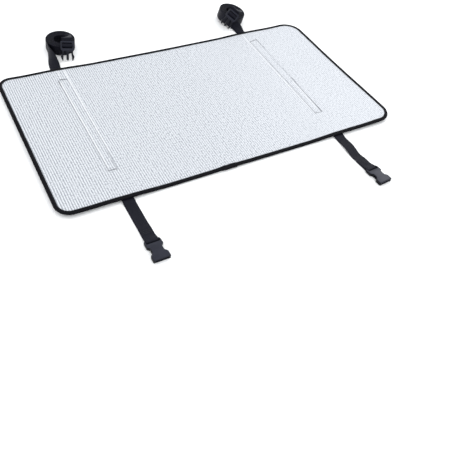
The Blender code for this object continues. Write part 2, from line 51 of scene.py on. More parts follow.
# Panel and binding
VISIBLE_X, VISIBLE_Y = mm(796, 410)
PANEL_THICK, TAPE_THICK, TAPE_COVER, GAP = mm(2.4, 0.8, 8.0, 0.35)
LAP_X, LAP_LENGTH = mm(344, 26)
CORNER_RADIUS = {"front_left": 30 * MM, "front_right": 37 * MM, "back_right": 44 * MM, "back_left": 32 * MM}
RIGHT_EDGE_HOLLOW = 2.5 * MM
EDGE_LIFT, FLAT_HALF, LIFT_POWER = 6.0 * MM, 170 * MM, 1.6
RIPPLE, WAVE_X, WAVE_Y = mm(0.5, 61, 83)
STRAP_RISE, RISE_FLAT, RISE_REACH = mm(2.0, 2, 75)
LAP_REACH_X, LAP_REACH_Y = mm(45, 60)
TAPE_EDGE_IN, TAPE_EDGE_DOWN = mm(0.25, 0.35)
FOLD_BULGE, FOLD_INSIDE, FOLD_FLAT = mm(2.2, 1.2, 0.6)
TAPE_STEP, CLIMB_STEPS, UPPER_POINTS = 3 * MM, 4, 8

# Relief of the panel's upper face and the tape: each height, then its reach or the length of its waves
FINE_HEIGHT, FINE_SCALE = mm(0.22, 21)
BROAD_HEIGHT, BROAD_SCALE = mm(0.45, 75)
SEAM_DEPTH, SEAM_HALF = mm(0.85, 1.5)
CREASE_DEPTH, CREASE_HALF = mm(0.35, 1.2)
CREASE_LEAN_MM = 1.5
DEEPEST_DENT = 1.0 * MM
RIDGE_HEIGHT, RIDGE_HALF, RIDGE_FADE = mm(0.30, 10, 5)
RIM_FADE = 14 * MM
WAVER, WAVER_SCALE = mm(0.28, 30)
PUCKER, PUCKER_SCALE = mm(0.12, 12)

# Mesh steps of the panel, with finer ones along the seams
PANEL_STEP = 4.5 * MM
FINE_STEP = 0.9 * MM
CORNER_ROWS, CORNER_STEPS = 44 * MM, 14
FINE_X = (mm(116, 149), mm(625, 663))
FINE_Y = (mm(66, 75), mm(368, 380))

# Sewing. A stitch row is a share of its length, then its height and thickness in thread radii.
STITCH_PROFILE = (
    (0.0, -0.5, 0.75), (0.14, 0.35, 1.0), (0.5, 0.62, 1.0), (0.86, 0.35, 1.0), (1.0, -0.5, 0.75),
)
THREAD_SIDES = 6
GREY_RADIUS, BLACK_RADIUS = mm(0.28, 0.22)
PANEL_PITCH_MM, PANEL_STITCH = 3.4, (0.08, 0.90)
TAPE_PITCH, TAPE_STITCH = 3.6 * MM, (0.08, 0.88)
TAPE_SEAM_IN, TAPE_SEAM_RISE = mm(1.7, 0.1)
TACK_ROWS = mm(17.0, 20.5, 24.0)
TACK_STITCHES = 9
TACK_HALF, TACK_STITCH_HALF = mm(10, 1.15)
TACK_LEAN, TACK_RISE = mm(0.6, 0.05)

# Foil pattern. A fade is a stretch in metres from the panel's middle, then the value at both its ends.
RIB_PITCH = 5.0 * MM
RIB_WANDER = 2.2 * MM
CELL_SHAPE = (1.0, 1.35, 1.0)
RIB_FADE = (-0.40, 0.16, 0.43, 0.14)
GRAIN_FADE_LEFT = (-0.30, 0.0, 0.62, 1.0)
GRAIN_FADE_RIGHT = (0.0, 0.2, 0.72, 0.38)
GRAIN_FADE_BACK = (-0.15, 0.20, 1.0, 1.2)
# Painted light: the foil's colour is painted lighter towards the right, a pool of light on that side.
PAINTED_LIGHT_FADE = (-0.40, 0.20, 0.53, 0.64)
NOISE_RANGE = (0.3, 0.7)
CELL_RANGE = (0.05, 0.75)
FOIL_DARK, FOIL_LIGHT = (0.285, 0.303, 0.335, 1), (0.652, 0.670, 0.702, 1)
# Painted light on the seams: the colour of the painted highlight on their crests, the colour of the painted
# shade in their grooves, and the mesh attribute that carries both.
PAINTED_HIGHLIGHT_COLOUR, PAINTED_GROOVE_SHADE = (0.80, 0.80, 0.81, 1), (0.035, 0.036, 0.045, 1)
SEAM_LIGHT_ATTRIBUTE = "seam mark"

# Other finishes: the weaves' pitches, and each material's darkest and lightest colour
TAPE_ROWS, TAPE_COLUMNS = mm(1.1, 1.4)
TAPE_DARK, TAPE_LIGHT = (0.0022, 0.0022, 0.0032, 1), (0.006, 0.006, 0.0082, 1)
WEB_ROWS, WEB_COLUMNS, WEB_ROW_SHIFT = mm(1.8, 2.5, 0.45)
WEB_DARK, WEB_LIGHT = (0.002, 0.0021, 0.0044, 1), (0.0084, 0.0086, 0.0150, 1)
# Painted shade on the buckles' steep sides, darker than their flat faces, and the facing range over which it
# fades.
PAINTED_SIDE_SHADE = (0.0015, 0.0015, 0.002, 1)
LIT_FACE_RANGE = (0.55, 0.97)
PLASTIC_DARK, PLASTIC_LIGHT = (0.0155, 0.0161, 0.0230, 1), (0.0245, 0.0257, 0.0365, 1)
COOL_TINT = (0.86, 0.88, 1.0, 1)
BLACK_THREAD, GREY_THREAD = (0.012, 0.0125, 0.015), (0.26, 0.27, 0.30)
THREAD_DARK_SHARE = 0.75
# Painted shade over a prong buckle's arms: the share of their colour kept, and the length over which the
# shade fades in.
ARMS_SHADE_SHARE, ARMS_SHADE_BLEND = 0.3, 6 * MM

# Webbing
WEB_WIDTH, WEB_THICK = mm(25, 1.4)
WEB_Z = WEB_THICK / 2
TAPE_CLEARING = 14 * MM
TWIST_START, TWIST_CLEAR = mm(12, 2)
TWIST_SHARE, TWIST_POWER = 0.86, 0.75
TURN_PITCH = 1.75 * MM
FULL_TURNS, STEPS_PER_TURN = 10, 84
TURN_DRIFT, LOWEST_DRIFT = mm(0.9, -0.2)
DRIFT_TURN, DRIFT_EASE = 6.3, 4.0
WEB_HALF_SECTION_MM = ((12.5, 0.0), (12.38, 0.36), (12.0, 0.60), (11.4, 0.70), (6.0, 0.70), (0.0, 0.70))

# Socket buckle
BAR_RADIUS, BAR_ALONG, BAR_Z, BAR_LENGTH = mm(1.6, 3.3, 3.4, 28.8)
LOOP_RADIUS, LOOP_RETURN = mm(2.75, 16)
SEWN_TAIL, SEWN_END, STEP_DOWN = mm(30, 2, 14)
SOCKET_COLUMNS = ("along", "half_width", "low", "high")
SOCKET_SECTIONS = (
    (0.0, 13.9, 1.2, 5.4),
    (1.2, 15.6, 0.6, 6.0),
    (4.5, 16.4, 0.2, 6.6),
    (16.0, 16.4, 0.0, 7.6),
    (18.6, 12.4, 0.0, 7.9),
    (20.5, 11.6, 0.0, 8.0),
    (28.5, 11.6, 0.0, 8.0),
    (31.0, 13.0, 0.0, 8.0),
    (33.4, 16.4, 0.0, 8.0),
    (36.0, 17.1, 0.0, 8.0),
    (44.8, 17.1, 0.0, 8.0),
    (46.5, 16.3, 0.5, 7.5),
)
SOCKET_ROUND = 1.8 * MM
SOCKET_FILLET_MM = 1.3
MOUTH_LOW, MOUTH_HIGH = mm(-13.2, -48.5, 1.5), mm(13.2, -22, 6.5)
MOUTH_EDGE = 0.6 * MM
WINDOW_LOW, WINDOW_HIGH = mm(-13.4, -9.0, -1), mm(13.4, 1, 10)

# Both buckles. A fillet takes at most this share of an outline's side.
SOFT_EDGE = 0.28 * MM
LONGEST_FILLET = 0.45

# Prong buckle
PRONG_THICK = 3.0 * MM
LADDER_HALF_WIDTH, LADDER_LENGTH = mm(16.2, 20.2)
SLOT_HALF_WIDTH, SLOT_LENGTH = mm(13.3, 5.2)
SLOT_STARTS = mm(3.4, 11.6)
LADDER_CORNER, LADDER_FILLET = mm(1.6, 0.9)
THREAD_SWEEP = 4.8 * MM
THREAD_LEADS = mm(-8, -4, 0)
THREAD_END = 2 * MM
THREAD_OFFSET = PRONG_THICK / 2 + WEB_THICK / 2 + GAP
ARM_OUTLINE = (
    (14.6, 20.2), (12.6, 23), (12.9, 30), (15.9, 35.5), (15.9, 37.6), (13.4, 43), (11.9, 45.6),
    (10.6, 45.2), (10.4, 40), (9.4, 30), (8, 23.4), (4.6, 22.2), (2.9, 24), (2.6, 42.6), (1.4, 45),
)

# Where the pieces lie, from the visible panel's front left corner.
# A row of painted seam light is a line from x, y to x, y, its tone at both ends (-1 painted shade in a
# groove, 1 painted highlight on a crest) and its half width.
# A tail row, round the roll's axis, is angle, radius, height and turn off its edge.
SIDES = {
    "left": {
        "front_x": 127.4 * MM, "back_x": 133.0 * MM, "bar_y": -111.5 * MM,
        "socket_turn": 0, "hump": 0,
        "roll_centre": mm(172.2, 506.9), "roll_radius": 35.3 * MM, "roll_lean": (0, 0),
        "entry_angle": 180, "exit_angle": 98,
        "tail": ((80, 16.2, 12.5, 0), (60, 15.4, 13, 0), (40, 14.6, 14.5, 0), (20, 13.4, 17, 2),
                 (0, 12.2, 21, 8), (-28, 14.5, 28, 34), (-48, 17.3, 34.5, 57), (-62, 21.3, 39.4, 80)),
        "buckle_top": mm(178.1, 473.2, 38.2), "buckle_tip": mm(169, 446.4, 2.9),
        "buckle_across": (1, -0.073, 0),
        "seam": ((120.5, 70), (138.5, 70), (142.5, 374), (121.5, 375)),
        "marks": ((119.5, 70, 120.5, 240, -0.22, -0.34, 1.2), (120.5, 240, 121, 352, -0.38, -0.42, 1.4),
                  (121, 354, 121.4, 372, -0.6, -0.75, 1.7), (122.5, 78, 124.2, 366, 0.5, 0.75, 1.2),
                  (129.5, 378, 130.5, 408, 0.55, 0.55, 1.2), (142.2, 120, 145.8, 408, 0.5, 0.75, 1.2),
                  (138, 72, 139.2, 120, -0.35, -0.25, 1), (119, 71, 139, 70.5, -0.6, -0.5, 1.5),
                  (125.5, 376, 142.5, 373, -0.8, -0.85, 1.6)),
    },
    "right": {
        "front_x": 638.4 * MM, "back_x": 642.3 * MM, "bar_y": -118.5 * MM,
        "socket_turn": 4.4, "hump": 2.6 * MM,
        "roll_centre": mm(644.2, 490.5), "roll_radius": 36.2 * MM, "roll_lean": (0.125, -0.094),
        "entry_angle": 218, "exit_angle": 62,
        "tail": ((42, 16.4, 12.5, 0), (22, 15.4, 13, 0), (2, 14.2, 14.5, 0), (-18, 12.6, 18.5, 3),
                 (-38, 11.6, 24.5, 12), (-60, 12.6, 32, 40), (-80, 18.4, 39, 68)),
        "buckle_top": mm(633.8, 458.5, 45.8), "buckle_tip": mm(600.8, 448.4, 14.3),
        "buckle_across": (20.3, -15.1, -15),
        "seam": ((631, 72), (648.5, 70), (659, 376), (636.5, 372)),
        "marks": ((631, 72, 634, 150, -0.32, -0.2, 1.2), (634, 150, 636.8, 250, -0.18, -0.15, 1.4),
                  (636.8, 250, 637.5, 372, -0.18, -0.24, 1.4), (628.5, 90, 632.5, 330, 0.35, 0.5, 1.3),
                  (632.5, 330, 634, 408, 0.5, 0.6, 1.4), (637.5, 378, 639, 406, -0.2, -0.2, 1.2),
                  (634.5, 371, 660, 377, -0.75, -0.6, 1.4), (659, 374, 658.5, 337, -0.35, -0.35, 1.1),
                  (658.5, 337, 658, 210, -0.08, -0.06, 1.3), (649, 71, 651.5, 150, -0.9, -0.42, 1.2),
                  (651.5, 150, 655, 204, -0.42, -0.6, 1.2), (645.5, 90, 648.5, 185, 0.4, 0.3, 1.4),
                  (630.5, 72, 648, 69.5, -0.6, -0.4, 1.3)),
    },
}
UP = Vector((0, 0, 1))
MIDDLE_X, MIDDLE_Y = VISIBLE_X / 2, 187.9 * MM
PANEL_LOW_Z = TAPE_THICK + GAP
OUTER_MIN = (-TAPE_COVER, -TAPE_COVER)
OUTER_MAX = (VISIBLE_X + TAPE_COVER, VISIBLE_Y + TAPE_COVER)

# Camera, solved from the photo
LENS, SHIFT_X, SHIFT_Y = 45.044, 0.08511, -0.15957
CAMERA_AT = (-0.5941, -0.8599, 0.8441)
CAMERA_RIGHT = (0.8766, -0.4663, 0.1192)
CAMERA_UP = (0.2547, 0.6596, 0.7071)
CAMERA_BACK = (-0.4083, -0.5895, 0.697)

# Floor and studio light. A light row is its name, place, size and power.
FLOOR_CORNERS = ((-6, -6, 0), (6, -6, 0), (6, 6, 0), (-6, 6, 0))
FLOOR_DROP = 0.4 * MM
FLOOR_COLOUR = (0.96, 0.96, 0.96, 1)
SKY_COLOUR, SKY_STRENGTH = (0.97, 0.985, 1.0, 1), 1.35
LIGHTS = (("key", (1.63, 0.5, 1.4), 0.7, 9.0), ("fill", (-1.6, 1.4, 2.4), 2.0, 11.0))


# Materials

class Shader:
    """Builds a node material. new() adds a node; its inputs go by name, or by number as i0, i1 and so on."""

    def __init__(self, name):
        self.material = bpy.data.materials.new(name)
        self.material.use_nodes = True
        self.nodes = self.material.node_tree.nodes
        self.links = self.material.node_tree.links
        self.surface = self.nodes["Principled BSDF"]

    def set(self, **values):
        for key, value in values.items():
            self.surface.inputs[key.replace("_", " ")].default_value = value

    def paint(self, colour):
        self.links.new(colour, self.surface.inputs["Base Color"])

    def new(self, kind, settings=None, **inputs):
        node = self.nodes.new(kind)
        for key, value in (settings or {}).items():
            setattr(node, key, value)
        for key, value in inputs.items():
            socket = node.inputs[int(key[1:])] if key[1:].isdigit() else node.inputs[key.replace("_", " ")]
            if isinstance(value, bpy.types.NodeSocket):
                self.links.new(value, socket)
            else:
                socket.default_value = value
        return node

    def place(self, kind="Object"):
        return self.new("ShaderNodeTexCoord").outputs[kind]

    def math(self, operation, first, second=0.0):
        return self.new("ShaderNodeMath", {"operation": operation}, i0=first, i1=second).outputs[0]

    def plus(self, first, second):
        return self.math("ADD", first, second)

    def times(self, first, second):
        return self.math("MULTIPLY", first, second)

    def wave(self, value, pitch):
        """A sine along value that repeats at pitch, both in metres."""
        return self.math("SINE", self.times(value, 2 * math.pi / pitch))

    def split(self, vector):
        return self.new("ShaderNodeSeparateXYZ", None, Vector=vector).outputs

    def stretch(self, vector, scale):
        return self.new("ShaderNodeVectorMath", {"operation": "MULTIPLY"}, i0=vector, i1=scale).outputs[0]

    def noise(self, vector, scale, detail):
        return self.new("ShaderNodeTexNoise", None, Vector=vector, Scale=scale, Detail=detail).outputs[0]

    def remap(self, value, low, high, to_low=0.0, to_high=1.0):
        return self.new("ShaderNodeMapRange", None, Value=value, From_Min=low, From_Max=high, To_Min=to_low,
                        To_Max=to_high).outputs[0]

    def mix(self, share, first, second):
        return self.new("ShaderNodeMix", {"data_type": "RGBA"}, i0=share, i6=first, i7=second).outputs[2]

    def bump(self, height, strength, distance):
        bump = self.new("ShaderNodeBump", None, Height=height, Strength=strength, Distance=distance)
        self.links.new(bump.outputs[0], self.surface.inputs["Normal"])


def foil_material():
    """Silver foil over foam: ribs along the short side, made of short cells, clearest at the left; painted
    light makes it lighter towards the right, and the seams carry painted highlight and painted shade.
    """
    made = Shader("foil foam")
    place = made.place()
    x, y, _ = made.split(place)
    wander = made.noise(made.stretch(place, (1.0, 0.3, 1.0)), 20.0, 1.0)
    along_x = made.plus(x, made.times(wander, RIB_WANDER))
    weave = made.new("ShaderNodeCombineXYZ", None, X=along_x, Y=y).outputs[0]
    cells = made.new("ShaderNodeTexVoronoi", {"voronoi_dimensions": "2D"}, Scale=1 / RIB_PITCH,
                     Randomness=0.5, Vector=made.stretch(weave, CELL_SHAPE)).outputs["Distance"]
    crinkle = made.noise(place, 900.0, 1.0)
    blotch = made.noise(place, 40.0, 1.0)
    patchy = made.remap(made.noise(place, 75.0, 1.0), *NOISE_RANGE, 0.35, 1.45)
    ribs = made.times(made.wave(along_x, RIB_PITCH), made.remap(x, *RIB_FADE))
    ribs = made.times(ribs, patchy)
    strength = made.times(made.remap(x, *GRAIN_FADE_LEFT), made.remap(x, *GRAIN_FADE_RIGHT))
    strength = made.times(strength, made.remap(y, *GRAIN_FADE_BACK))
    bright_cells = made.remap(cells, *CELL_RANGE, 1.0, -1.0)
    grain = made.plus(bright_cells, made.remap(crinkle, *NOISE_RANGE, -0.4, 0.4))
    tone = made.plus(ribs, made.times(grain, strength))
    tone = made.plus(tone, made.remap(blotch, *NOISE_RANGE, -0.015, 0.015))
    # Painted light: the foil's colour grows lighter towards the right.
    foil = made.mix(made.plus(tone, made.remap(x, *PAINTED_LIGHT_FADE)), FOIL_DARK, FOIL_LIGHT)
    # Painted highlight on the seams' crests and painted shade in their grooves, read from the mesh.
    mark = made.new("ShaderNodeAttribute", {"attribute_name": SEAM_LIGHT_ATTRIBUTE}).outputs["Fac"]
    lit = made.mix(made.remap(mark, 0.0, 1.0), foil, PAINTED_HIGHLIGHT_COLOUR)
    made.paint(made.mix(made.remap(mark, 0.0, -1.0), lit, PAINTED_GROOVE_SHADE))
    made.set(Metallic=0.25, Roughness=0.62)
    made.bump(made.math("SUBTRACT", ribs, made.times(cells, 0.9)), 0.5, 0.5 * MM)
    return made.material


def tape_material():
    """Woven black edge tape."""
    made = Shader("binding tape")
    place = made.place("UV")
    u, v, _ = made.split(place)
    weave = made.times(made.wave(u, TAPE_ROWS), made.wave(v, TAPE_COLUMNS))
    dust = made.noise(place, 60.0, 3.0)
    made.paint(made.mix(dust, TAPE_DARK, TAPE_LIGHT))
    made.set(Roughness=0.7, Specular_IOR_Level=0.06)
    made.bump(weave, 0.5, 0.18 * MM)
    return made.material


def webbing_material():
    """Black webbing: ribs across it, each yarn column half a rib out of step with the next."""
    made = Shader("webbing")
    place = made.place("UV")
    u, v, _ = made.split(place)
    columns = made.wave(v, WEB_COLUMNS)
    shift = made.times(made.math("SIGN", columns), WEB_ROW_SHIFT)
    rows = made.wave(made.plus(u, shift), WEB_ROWS)
    yarn = made.plus(made.times(rows, 0.6), made.math("ABSOLUTE", columns))
    fuzz = made.noise(made.stretch(place, (1.0, 3.0, 1.0)), 700.0, 2.0)
    wear = made.noise(place, 35.0, 3.0)
    share = made.plus(made.times(wear, 0.7), made.times(fuzz, 0.3))
    made.paint(made.mix(share, WEB_DARK, WEB_LIGHT))
    made.set(Roughness=0.5, Specular_IOR_Level=0.12, Specular_Tint=COOL_TINT)
    made.bump(yarn, 0.6, 0.22 * MM)
    return made.material


def plastic_material(name, arms_shade_share=1.0):
    """Moulded black plastic with painted shade on its steep sides, which leaves its flat faces lighter. A low
    arms_shade_share paints shade over a prong buckle's arms.
    """
    made = Shader(name)
    place = made.place()
    spark = made.noise(place, 2600.0, 2.0)
    cloud = made.noise(place, 90.0, 2.0)
    # Painted shade: the steep sides take the dark side colour and the flat faces the lighter one.
    _, _, facing = made.split(made.place("Normal"))
    flat = made.remap(made.math("ABSOLUTE", facing), *LIT_FACE_RANGE)
    _, along, _ = made.split(place)
    # Painted shade over a prong buckle's arms, beyond the ladder.
    ladder = made.remap(along, -LADDER_LENGTH - ARMS_SHADE_BLEND, -LADDER_LENGTH, arms_shade_share, 1.0)
    top = made.mix(cloud, PLASTIC_DARK, PLASTIC_LIGHT)
    made.paint(made.mix(made.times(flat, ladder), PAINTED_SIDE_SHADE, top))
    made.set(Roughness=0.30, Specular_IOR_Level=0.14, Specular_Tint=COOL_TINT)
    made.bump(spark, 0.12, 0.1 * MM)
    return made.material


def thread_material(name, colour):
    made = Shader(name)
    twist = made.noise(made.place(), 2200.0, 1.0)
    dark = tuple(value * THREAD_DARK_SHARE for value in colour)
    made.paint(made.mix(twist, (*dark, 1), (*colour, 1)))
    made.set(Roughness=0.5)
    return made.material


# Small helpers

def to_world(x, y, z):
    return Vector((x - MIDDLE_X, y - MIDDLE_Y, z))


def smooth(value):
    value = min(1.0, max(0.0, value))
    return value * value * (3 - 2 * value)


def ripple(x, y, scale, seed=0.0):
    """Even noise from -1 to 1 over the surface, scale in metres."""
    return noise.noise(Vector((x / scale, y / scale, seed)))


def shares(count, first=1):
    """Even steps from first / count up to 1."""
    return [i / count for i in range(first, count + 1)]


def arc(start, end, steps):
    """Angles in radians along an arc that is given in degrees."""
    return [math.radians(start + (end - start) * i / steps) for i in range(steps + 1)]


def between(start, end, share):
    """A place on the line from start to end."""
    return start[0] + (end[0] - start[0]) * share, start[1] + (end[1] - start[1]) * share


def hermite(start, start_aim, end, end_aim, share):
    squared, cubed = share * share, share ** 3
    return (start * (2 * cubed - 3 * squared + 1) + start_aim * (cubed - 2 * squared + share)
            + end * (3 * squared - 2 * cubed) + end_aim * (cubed - squared))


def spline(points, steps):
    made = []
    for i in range(len(points) - 1):
        before_it, after = points[max(0, i - 1)], points[min(len(points) - 1, i + 2)]
        start, end = points[i], points[i + 1]
        start_aim = (end - before_it) / (2 if i else 1)
        end_aim = (after - start) / (2 if i < len(points) - 2 else 1)
        made += [hermite(start, start_aim, end, end_aim, k / steps) for k in range(steps)]
    return made + [points[-1]]


def link_object(name, data):
    made = bpy.data.objects.new(name, data)
    bpy.context.collection.objects.link(made)
    return made


def object_from(work, name):
    """An object with the mesh that was built in work."""
    mesh = bpy.data.meshes.new(name)
    work.to_mesh(mesh)
    work.free()
    return link_object(name, mesh)


def add_object(name, vertices, faces, surface, smooth_angle=40, uvs=None):
    mesh = bpy.data.meshes.new(name)
    mesh.from_pydata([tuple(v) for v in vertices], [], faces)
    mesh.materials.append(surface)
    if uvs:
        layer = mesh.uv_layers.new(name="UVMap")
        for loop in mesh.loops:
            layer.data[loop.index].uv = uvs[loop.vertex_index]
    work = bmesh.new()
    work.from_mesh(mesh)
    bmesh.ops.recalc_face_normals(work, faces=work.faces)
    work.to_mesh(mesh)
    work.free()
    mesh.shade_smooth()
    mesh.set_sharp_from_angle(angle=math.radians(smooth_angle))
    return link_object(name, mesh)


def loft(rings):
    """Vertices and faces of a closed tube through rings of equal length."""
    count = len(rings[0])
    vertices = [point for ring in rings for point in ring]
    last = (len(rings) - 1) * count
    faces = []
    for start in range(0, last, count):
        for k in range(count):
            a, b = start + k, start + (k + 1) % count
            faces.append((a, b, b + count, a + count))
    faces.append(tuple(range(count - 1, -1, -1)))
    faces.append(tuple(range(last, last + count)))
    return vertices, faces


def register(piece, slot, *nodes):
    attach(piece, "root")
    if nodes:
        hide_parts(*nodes)
    return piece


# Panel

def strap_x(side, y):
    share = min(1.0, max(0.0, y / VISIBLE_Y))
    return side["front_x"] + (side["back_x"] - side["front_x"]) * share


def panel_underside(x, y):
    """Height of the panel's lower face, as in the solids."""
    from_middle = abs(x - VISIBLE_X / 2)
    lift = max(0.0, (from_middle - FLAT_HALF) / (VISIBLE_X / 2 + TAPE_COVER - FLAT_HALF))
    height = PANEL_LOW_Z + EDGE_LIFT * lift ** LIFT_POWER
    for side in SIDES.values():
        aside = max(0.0, abs(x - strap_x(side, y)) - WEB_WIDTH / 2 - RISE_FLAT)
        height += STRAP_RISE * (1 - smooth(aside / RISE_REACH))
    lap_aside = max(0.0, abs(x - LAP_X - LAP_LENGTH / 2) - LAP_LENGTH / 2)
    lap = (1 - smooth(lap_aside / LAP_REACH_X)) * (1 - smooth((y + TAPE_COVER) / LAP_REACH_Y))
    height += (TAPE_THICK + GAP) * lap
    wave = math.sin(x / WAVE_X + 1.3) * math.sin(y / WAVE_Y + 0.4)
    return height + RIPPLE * (1 + wave)


def segment_distance(x, y, start, end):
    """Distance from a point to the line between two table points in millimetres."""
    ax, ay = start[0] * MM, start[1] * MM
    bx, by = end[0] * MM - ax, end[1] * MM - ay
    share = min(1.0, max(0.0, ((x - ax) * bx + (y - ay) * by) / (bx * bx + by * by)))
    return math.hypot(x - ax - bx * share, y - ay - by * share)


def seam_sides(side):
    corners = side["seam"]
    return [(corners[i], corners[(i + 1) % 4]) for i in range(4)]


def painted_seam_tone(x, y):
    """Painted shade in the seams' grooves and painted highlight on their crests at a place on the foil, from
    -1 for dark to 1 for bright.
    """
    tone = 0.0
    for side in SIDES.values():
        for x0, y0, x1, y1, start_tone, end_tone, wide in side["marks"]:
            dx, dy = x1 - x0, y1 - y0
            length = math.hypot(dx, dy)
            px, py = x / MM - x0, y / MM - y0
            share = (px * dx + py * dy) / (length * length)
            aside = (px * dy - py * dx) / length
            if 0 <= share <= 1 and abs(aside) < 3 * wide:
                tone += (start_tone + (end_tone - start_tone) * share) * math.exp(-(aside / wide) ** 2)
    return max(-1.0, min(1.0, tone))


def seam_dent(x, y):
    """How far the seams and the creases behind them press the upper face down, in metres."""
    dent = 0.0
    for side in SIDES.values():
        for start, end in seam_sides(side):
            dent += SEAM_DEPTH * math.exp(-(segment_distance(x, y, start, end) / SEAM_HALF) ** 2)
        for corner in side["seam"][2:]:
            away = segment_distance(x, y, corner, (corner[0] + CREASE_LEAN_MM, VISIBLE_Y / MM))
            dent += CREASE_DEPTH * math.exp(-(away / CREASE_HALF) ** 2)
    return min(dent, DEEPEST_DENT)


def strap_ridge(x, y):
    """The strap under the panel stands out a little."""
    ridge = 0.0
    for side in SIDES.values():
        aside = abs(x - strap_x(side, y))
        ridge += RIDGE_HEIGHT * (1 - smooth((aside - RIDGE_HALF) / RIDGE_FADE))
    return ridge


def relief(x, y):
    """Ripples, strap ridges and seam dents of the upper face."""
    ripples = FINE_HEIGHT * ripple(x, y, FINE_SCALE) + BROAD_HEIGHT * ripple(x, y, BROAD_SCALE, seed=4.0)
    return ripples + strap_ridge(x, y) - seam_dent(x, y)


def right_edge_hollow(y):
    share = (y - OUTER_MIN[1]) / (OUTER_MAX[1] - OUTER_MIN[1])
    return RIGHT_EDGE_HOLLOW * math.sin(math.pi * min(1.0, max(0.0, share))) ** 2


def outline_x(y, inset):
    """Left and right ends of a line across the rounded outline at y, pulled in by inset."""
    from_front, from_back = y - (OUTER_MIN[1] + inset), OUTER_MAX[1] - inset - y
    ends = []
    for front, back, sign in (("front_left", "back_left", 1), ("front_right", "back_right", -1)):
        edge = OUTER_MIN[0] + inset if sign > 0 else OUTER_MAX[0] - inset
        for corner, along in ((front, from_front), (back, from_back)):
            radius = CORNER_RADIUS[corner] - inset
            if along < radius:
                short = radius - along
                edge += sign * (radius - math.sqrt(max(0.0, radius * radius - short * short)))
        if sign < 0:
            edge -= right_edge_hollow(y)
        ends.append(edge)
    return ends


def fill_steps(low, high, step):
    count = round((high - low) / step)
    return [low + (high - low) * i / count for i in range(count + 1)]


def with_finer(places, stretches):
    """The same positions, with finer steps instead within the given stretches."""
    kept = [at for at in places if not any(low <= at <= high for low, high in stretches)]
    for low, high in stretches:
        kept += fill_steps(low, high, FINE_STEP)
    return sorted(kept)


def make_panel(surface):
    """The foil foam sheet, with its ripples and the dents of its seams."""
    inset = TAPE_THICK + GAP
    low_x, high_x = OUTER_MIN[0] + inset, OUTER_MAX[0] - inset
    low_y, high_y = OUTER_MIN[1] + inset, OUTER_MAX[1] - inset
    columns = with_finer(fill_steps(low_x, high_x, PANEL_STEP), FINE_X)
    corner = [CORNER_ROWS * (1 - math.cos(math.pi / 2 * i / CORNER_STEPS)) for i in range(CORNER_STEPS)]
    rows = [low_y + step for step in corner]
    rows += fill_steps(low_y + CORNER_ROWS, high_y - CORNER_ROWS, PANEL_STEP)
    rows += [high_y - step for step in reversed(corner)]
    rows = with_finer(rows, FINE_Y)
    vertices, painted_tones = [], []
    for upper in (False, True):
        for y in rows:
            left, right = outline_x(y, inset)
            for column in columns:
                x = left + (right - left) * (column - low_x) / (high_x - low_x)
                z = panel_underside(x, y)
                if upper:
                    from_rim = max(0.0, min(x - low_x, high_x - x, y - low_y, high_y - y))
                    z += PANEL_THICK + min(1.0, from_rim / RIM_FADE) * relief(x, y)
                vertices.append(to_world(x, y, z))
                # Painted highlight and painted shade along the seams, kept on the upper face's points.
                painted_tones.append(painted_seam_tone(x, y) if upper else 0.0)
    made = add_object("panel_foil", vertices, sheet_faces(len(columns), len(rows)), surface, smooth_angle=50)
    marks = made.data.attributes.new(SEAM_LIGHT_ATTRIBUTE, "FLOAT", "POINT")
    marks.data.foreach_set("value", painted_tones)
    return made


def sheet_faces(wide, deep):
    """Faces of a closed sheet: a lower and an upper grid of wide by deep points, joined round the rim."""
    layer = wide * deep
    faces = []
    for j in range(deep - 1):
        for i in range(wide - 1):
            a = j * wide + i
            faces.append((a, a + wide, a + wide + 1, a + 1))
            faces.append((a + layer, a + layer + 1, a + layer + wide + 1, a + layer + wide))
    rim = list(range(wide))
    rim += [j * wide + wide - 1 for j in range(1, deep)]
    rim += [(deep - 1) * wide + i for i in range(wide - 2, -1, -1)]
    rim += [j * wide for j in range(deep - 2, 0, -1)]
    for a, b in zip(rim, rim[1:] + rim[:1]):
        faces.append((a, b, b + layer, a + layer))
    return faces


# Sewing

def stitch(start, end, radius):
    """One sewn stitch: a short thread whose ends go down into the cloth."""
    along = end - start
    across = UP.cross(along.normalized()).normalized()
    turns = [2 * math.pi / THREAD_SIDES * k for k in range(THREAD_SIDES)]
    rings = []
    for share, height, size in STITCH_PROFILE:
        centre = start + along * share + UP * (radius * height)
        rings.append([centre + (across * math.cos(turn) + UP * math.sin(turn)) * radius * size
                      for turn in turns])
    return rings


def sew(name, pairs, surface, radius):
    """All stitches of a seam in one piece. pairs are the stitches' start and end points."""
    vertices, faces = [], []
    for start, end in pairs:
        points, quads = loft(stitch(start, end, radius))
        faces += [tuple(k + len(vertices) for k in quad) for quad in quads]
        vertices += points
    return add_object(name, vertices, faces, surface, smooth_angle=60)


def panel_seam(side):
    """Stitches along the four sides of the sewn box over a strap."""
    pairs = []
    for start, end in seam_sides(side):
        count = round(math.dist(start, end) / PANEL_PITCH_MM)
        for i in range(count):
            places = []
            for part in PANEL_STITCH:
                x, y = mm(*between(start, end, (i + part) / count))
                places.append(to_world(x, y, panel_underside(x, y) + PANEL_THICK + relief(x, y)))
            pairs.append(places)
    return pairs


def bar_tack(side):
    """Rows of stitches across the doubled webbing behind the socket buckle."""
    bar_end, along, across = socket_axes(side)
    top = UP * (2 * WEB_THICK + GAP + TACK_RISE)
    half = across * TACK_STITCH_HALF
    pairs = []
    for back in TACK_ROWS:
        for i in range(TACK_STITCHES):
            wide = TACK_HALF * (2 * i / (TACK_STITCHES - 1) - 1)
            lean = TACK_LEAN * (-1) ** i
            centre = bar_end - along * (back + lean) + across * wide + top
            pairs.append((centre - half, centre + half))
    return pairs


# Binding

